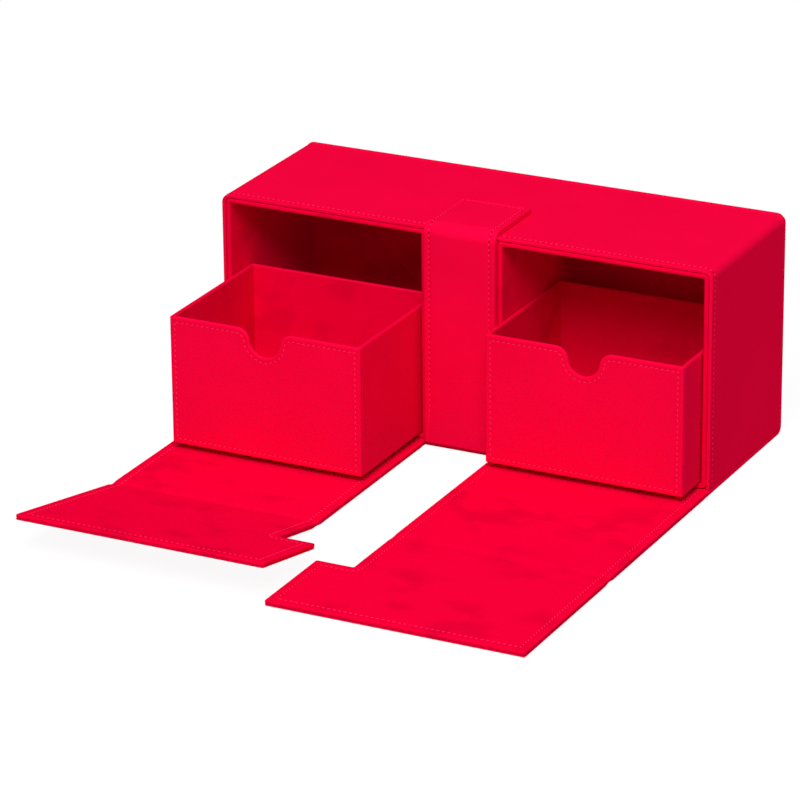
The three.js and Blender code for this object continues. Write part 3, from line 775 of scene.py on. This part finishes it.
# Trays
def make_tray(name):
    """A tray's front with its thumb notch, and the skin of its other walls and floor."""
    body = name + "_tray"
    low, high = box_mm(body + "_body_skin")
    front = box_mm(body + "_front_skin")[0].y
    middle, half = (low.x + high.x) / 2, (high.x - low.x) / 2
    base, height, depth = low.z, high.z - low.z, high.y - front
    notch, shoulder, drop = 7.7, 6.6, 12.6          # radii of the notch and its shoulders, and its depth
    low_corner, high_corner, least_corner = 0.7, 0.8, 0.03
    front_thick, front_round = 2.15, 0.98
    notch_z, shoulder_z = height - drop + notch, height - shoulder
    lean = asin((notch_z - shoulder_z) / (notch + shoulder))
    reach = (notch + shoulder) * cos(lean)

    def front_shape(inset):
        """Anticlockwise seen from the front, with the notch in the top edge."""
        r0, r1 = max(low_corner - inset, least_corner), max(high_corner - inset, least_corner)
        left, right, top = -half + inset, half - inset, height - inset
        points = arc(left + r0, inset + r0, r0, pi, 1.5 * pi, 4)
        points += arc(right - r0, inset + r0, r0, -pi / 2, 0, 4)
        points += arc(right - r1, top - r1, r1, 0, pi / 2, 5)
        points += arc(reach, shoulder_z, shoulder - inset, pi / 2, pi - lean, 10)
        points += arc(0, notch_z, notch + inset, -lean, lean - pi, 24)[1:-1]
        points += arc(-reach, shoulder_z, shoulder - inset, lean, pi / 2, 10)
        points += arc(left + r1, top - r1, r1, pi / 2, pi, 5)
        return points

    seam, dip, seam_half = 2.65, 0.2, 0.55
    levels = rolled(-front_thick, 0, front_round, front_round, 5, (seam, dip, seam_half))
    solid = plate(front_shape, levels, lambda u, v, out: (middle + u, front - out, base + v))
    finish_piece(new_mesh(body + "_front_cover", [solid]), [LEATHER], body,
                 replaces=[body + "_front_skin"])

    wall, near = 2.12, 2.13
    inner, rear = half - wall, depth - wall
    joint_round, inner_round, outer_round = 0.3, 0.5, 1.7
    foot_round, rim_round = 0.6, 0.95
    corners = [(-half, near, joint_round), (-inner, near, joint_round), (-inner, rear, inner_round),
               (inner, rear, inner_round), (inner, near, joint_round), (half, near, joint_round),
               (half, depth, outer_round), (-half, depth, outer_round)]
    step, floor_thick, floor_edge = 0.5, 0.58, 0.1  # the floor lies a step inside the walls' outer faces
    floor_x, floor_near, floor_rear, floor_round = half - step, near + 0.2, depth - step, 1.2
    floor_corners = [(-floor_x, floor_near, joint_round), (floor_x, floor_near, joint_round),
                     (floor_x, floor_rear, floor_round), (-floor_x, floor_rear, floor_round)]

    def place(u, v, up):
        return (middle + u, front + v, base + up)

    walls = plate(lambda inset: outline(corners, inset, 5),
                  rolled(0, height, foot_round, rim_round, 5), place)
    floor = plate(lambda inset: outline(floor_corners, inset, 4),
                  rolled(0, floor_thick, floor_edge, floor_edge, 2), place)
    finish_piece(new_mesh(body + "_body_cover", [walls, floor]), [LEATHER], body,
                 replaces=[body + "_body_skin"])
    loop = [(middle + u, front + dip, base + v) for u, v in front_shape(seam)]
    stitches(body + "_stitches", [(loop, facing(0, -1, 0), True)], body, hole=0.7)


# Flaps
def fold_shape(name, side):
    """How a flat flap's point (x on the right, y, z) lies at rest: thinned at its folds, its tip lifted."""
    lift = LIFT[name]
    crease_low, hinge_low = 0.75, 0.2               # how far the underside comes up at the folds
    crease_high, hinge_high = 0.38, 0.12            # and the lining goes down

    def shape(point):
        x, y, z = point
        crease = cos(pi / 2 * min(abs(y - CREASE_Y) / CREASE_HALF, 1)) ** 2
        hinge = cos(pi / 2 * min(abs(y - HINGE_Y) / HINGE_HALF, 1)) ** 2
        low = crease_low * crease + hinge_low * hinge
        high = FLAP_T - crease_high * crease - hinge_high * hinge
        if z > FLAP_T:
            z -= FLAP_T - high
        elif z >= 0:
            z = low + (high - low) * z / FLAP_T
        share = min(max((CREASE_Y + CREASE_HALF - y) / (2 * CREASE_HALF), 0), 1)
        angle = lift * share * share * (3 - 2 * share)
        dy, dz = y - CREASE_Y, z - FOLD_Z
        return Vector((x * side, CREASE_Y + dy * cos(angle) + dz * sin(angle),
                       FOLD_Z - dy * sin(angle) + dz * cos(angle)))

    return shape


def flap_corners(start):
    """A flap's outline, from start at the hinge to the end of its tip, with the tab at its inner side."""
    tab_y = CREASE_Y - TAB_START
    hinge_round, notch_round, tip_round = 0.5, 0.7, 1.1
    return [(FLAP_IN, start, hinge_round), (FLAP_IN, tab_y, notch_round), (TAB_X, tab_y, tip_round),
            (TAB_X, TIP_END, tip_round), (FLAP_X, TIP_END, tip_round), (FLAP_X, start, hinge_round)]


def rows_across(middle, half, count):
    """Places at an even pitch from one side of a fold to the other."""
    return [middle + half - 2 * half * j / count for j in range(count + 1)]


def cut_rows(obj, rows):
    """Cuts a mesh across at each y, so that it can bend there."""
    def cut(bm):
        for y in rows:
            cut_across(bm, (0, y, 0), (0, 1, 0))

    edit_mesh(obj.data, cut)


def keep_side(obj, y, front):
    """Keeps what lies in front of y, or behind it, and closes the cut."""
    def cut(bm):
        result = cut_across(bm, (0, y, 0), (0, 1, 0), clear_outer=front, clear_inner=not front)
        edges = [e for e in result["geom_cut"] if isinstance(e, bmesh.types.BMEdge)]
        bmesh.ops.holes_fill(bm, edges=edges, sides=0)
        for edge in edges:
            edge.smooth = False

    edit_mesh(obj.data, cut)


def reshape(obj, shape):
    for vertex in obj.data.vertices:
        vertex.co = shape(vertex.co / MM) * MM
    edit_mesh(obj.data)


def lay(point, sink, shape):
    """Moves a stitch's point with the surface at height sink, keeping its height above that surface."""
    above, step = point.z - sink, 0.2
    ground = shape((point.x, point.y, sink))
    ahead = shape((point.x, point.y + step, sink))
    slope = (ahead - ground).normalized()
    return ground + Vector((0, -slope.z, slope.y)) * above


def fill_in(points, spacing):
    """A closed path with no two neighbours further apart than spacing."""
    dense = []
    for (ax, ay), (bx, by) in zip(points, points[1:] + points[:1]):
        count = max(1, ceil(hypot(bx - ax, by - ay) / spacing))
        dense += [(ax + (bx - ax) * j / count, ay + (by - ay) * j / count) for j in range(count)]
    return dense


def run_where(points, keep):
    """The one unbroken run of a closed path whose points keep(y) allows."""
    first = next(i for i in range(len(points)) if keep(points[i][1]) and not keep(points[i - 1][1]))
    ordered = points[first:] + points[:first]
    length = next(i for i, point in enumerate(ordered) if not keep(point[1]))
    return ordered[:length]


def make_flap_layer(name, layer, material, levels, cad_layer, joint, shape, blends):
    """One layer of a flap: a short piece at the hinge, and the rest, cut into rows at the crease and shaped to lie
    at rest.
    """
    case_gap, hinge_rows_half = 0.12, 3.0
    corners = flap_corners(FRONT - case_gap)
    rows = {"hinge": rows_across(HINGE_Y, hinge_rows_half, 10),
            "flap": rows_across(CREASE_Y, CREASE_HALF, 14)}
    for part in ("hinge", "flap"):
        solid = plate(lambda inset: outline(corners, inset, 5), levels, as_drawn)
        obj = new_mesh(f"{name}_{part}_{layer}", [solid])
        keep_side(obj, joint, part == "flap")
        cut_rows(obj, rows[part])
        reshape(obj, shape)
        replaces = [f"{name}_panel_{cad_layer}", f"{name}_tip_{cad_layer}"] if part == "flap" else ()
        finish_piece(obj, [material], blend=blends[part], replaces=replaces)


def make_flap_stitches(name, joint, shape, blends):
    """One loop of stitches through both layers, seen on the lining and on the underside."""
    lining_z, cover_z = FLAP_T - LINING_DIP, COVER_DIP
    seam_start, spacing = FRONT - 1.2, 1.5
    loop = fill_in(outline(flap_corners(seam_start + STITCH_IN), STITCH_IN, 5), spacing)
    for part, keep in (("hinge", lambda y: y > joint), ("flap", lambda y: y <= joint)):
        line = run_where(loop, keep)
        solids = []
        for z, up in ((lining_z, (0, 0, 1)), (cover_z, (0, 0, -1))):
            for points, faces, mark in stitch_solids([(u, v, z) for u, v in line], facing(*up)):
                solids.append(([lay(p, z, shape) for p in points], faces, mark))
        finish_piece(new_mesh(f"{name}_{part}_stitches", solids), [THREAD, HOLE_SHADE],
                     blend=blends[part])


def make_flap(name, side):
    shape = fold_shape(name, side)
    joint, hinge_blend_half = HINGE_Y - 5.0, 2.7
    middle = side * (FLAP_IN + FLAP_X) / 2
    crease_end = shape((abs(middle), CREASE_Y - CREASE_HALF, FOLD_Z))
    blends = {
        "hinge": ("case", name + "_flap", Vector((middle, HINGE_Y + hinge_blend_half, FOLD_Z)) * MM,
                  Vector((middle, HINGE_Y - hinge_blend_half, FOLD_Z)) * MM),
        "flap": (name + "_flap", name + "_tip", Vector((middle, CREASE_Y + CREASE_HALF, FOLD_Z)) * MM,
                 crease_end * MM),
    }
    seam_gap = 0.05                                 # between the seam and the rims of the two layers
    cover_depths = rolled(seam_gap, FLAP_SEAM, 0.35, 0.7, 4, (STITCH_IN, COVER_DIP, 0.8))
    cover_levels = [(FLAP_SEAM - depth, inset) for depth, inset in cover_depths]
    lining_levels = rolled(FLAP_SEAM + seam_gap, FLAP_T, 0.55, 0.6, 4, (STITCH_IN, LINING_DIP, 0.9))
    make_flap_layer(name, "cover", LEATHER, cover_levels, "skin", joint, shape, blends)
    make_flap_layer(name, "lining", LINING, lining_levels, "lining", joint, shape, blends)
    make_flap_stitches(name, joint, shape, blends)


# Floor, light and camera
FLOOR_WHITE = (0.86, 0.86, 0.86)
FLOOR_GREY = (0.40, 0.40, 0.40)
FLOOR_GLOW = 1.03
FLOOR_GLOW_SHARE = 0.9
FLOOR_SIZE = 12
FLOOR_DROP = 0.0004
FILL = 0.40
KEY_PLACE = (0.525, -1.667, 2.15)
KEY_TARGET = (0, -0.05, 0.05)
KEY_SIZE = 1.6
KEY_POWER = 68
CAMERA_PLACE = (0.8846, -1.8427, 0.8191)
CAMERA_AZIMUTH = radians(26.984)
CAMERA_ELEVATION = radians(21.581)
CAMERA_ROLL = radians(-0.532)
CAMERA_LENS = 210.9


def floor_material():
    """White where the camera looks, with the object's shadow, and a mid grey for the light on the object."""
    m = Material("floor_white")
    m.put("Roughness", 0.9)
    m.put("Specular IOR Level", 0.0)
    glow = m.add("ShaderNodeEmission")
    glow.inputs["Strength"].default_value = FLOOR_GLOW
    shown = m.shown()
    m.put("Base Color", m.mix(shown, FLOOR_GREY, FLOOR_WHITE))
    surface = m.mix_shader(m.math("MULTIPLY", shown, FLOOR_GLOW_SHARE), m.bsdf.outputs[0], glow.outputs[0])
    m.link(surface, m.tree.nodes["Material Output"].inputs["Surface"])
    return m.mat


def make_floor():
    bpy.ops.mesh.primitive_grid_add(x_subdivisions=2, y_subdivisions=2, size=FLOOR_SIZE,
                                    location=(0, 0, -FLOOR_DROP))
    floor = bpy.context.object
    floor.name = "floor"
    floor.data.materials.append(floor_material())


def make_world():
    """A white room to look at, whose light on the object is a soft fill."""
    world = bpy.data.worlds.new("studio")
    scene.world = world
    world.use_nodes = True
    m = Nodes(world.node_tree)
    fill = m.tree.nodes["Background"]
    white = m.add("ShaderNodeBackground")
    for background, strength in ((fill, FILL), (white, 1.0)):
        background.inputs["Color"].default_value = (1, 1, 1, 1)
        background.inputs["Strength"].default_value = strength
    surface = m.mix_shader(m.shown(), fill.outputs[0], white.outputs[0])
    m.link(surface, m.tree.nodes["World Output"].inputs["Surface"])


def make_key_light():
    data = bpy.data.lights.new("key", "AREA")
    data.shape = "DISK"
    data.size = KEY_SIZE
    data.energy = KEY_POWER
    light = bpy.data.objects.new("key", data)
    scene.collection.objects.link(light)
    light.location = KEY_PLACE
    light.rotation_euler = (Vector(KEY_TARGET) - Vector(KEY_PLACE)).to_track_quat("-Z", "Y").to_euler()


def make_camera():
    data = bpy.data.cameras.new("camera")
    data.sensor_width = 36
    data.lens = CAMERA_LENS
    data.clip_end = 50
    camera = bpy.data.objects.new("camera", data)
    scene.collection.objects.link(camera)
    level = cos(CAMERA_ELEVATION)
    right = Vector((cos(CAMERA_AZIMUTH), sin(CAMERA_AZIMUTH), 0))
    forward = Vector((-sin(CAMERA_AZIMUTH) * level, cos(CAMERA_AZIMUTH) * level, -sin(CAMERA_ELEVATION)))
    up = right.cross(forward)
    rolled_right = right * cos(CAMERA_ROLL) + up * sin(CAMERA_ROLL)
    rolled_up = up * cos(CAMERA_ROLL) - right * sin(CAMERA_ROLL)
    turned = Matrix((rolled_right, rolled_up, -forward)).transposed().to_4x4()
    camera.matrix_world = Matrix.Translation(Vector(CAMERA_PLACE)) @ turned
    scene.camera = camera


# Make everything
make_spine()
make_wrap()
make_centre()
make_strap()
for side_name, side_sign in SIDES.items():
    make_liner(side_name, side_sign)
    make_tray(side_name)
    make_flap(side_name, side_sign)

CAD_MATERIALS = {"leatherette": LEATHER, "suede": LINING, "greyboard": BOARD, "steel": STEEL,
                 "nickel": NICKEL}
slot_of = {entry["node"]: entry["material_slot"] for entry in frame["record"]["subparts"]}
for node_name, node in frame["nodes"].items():
    node.data.materials.clear()
    node.data.materials.append(CAD_MATERIALS[slot_of[node_name]])

make_floor()
make_world()
make_key_light()
make_camera()
scene.view_settings.view_transform = "Standard"
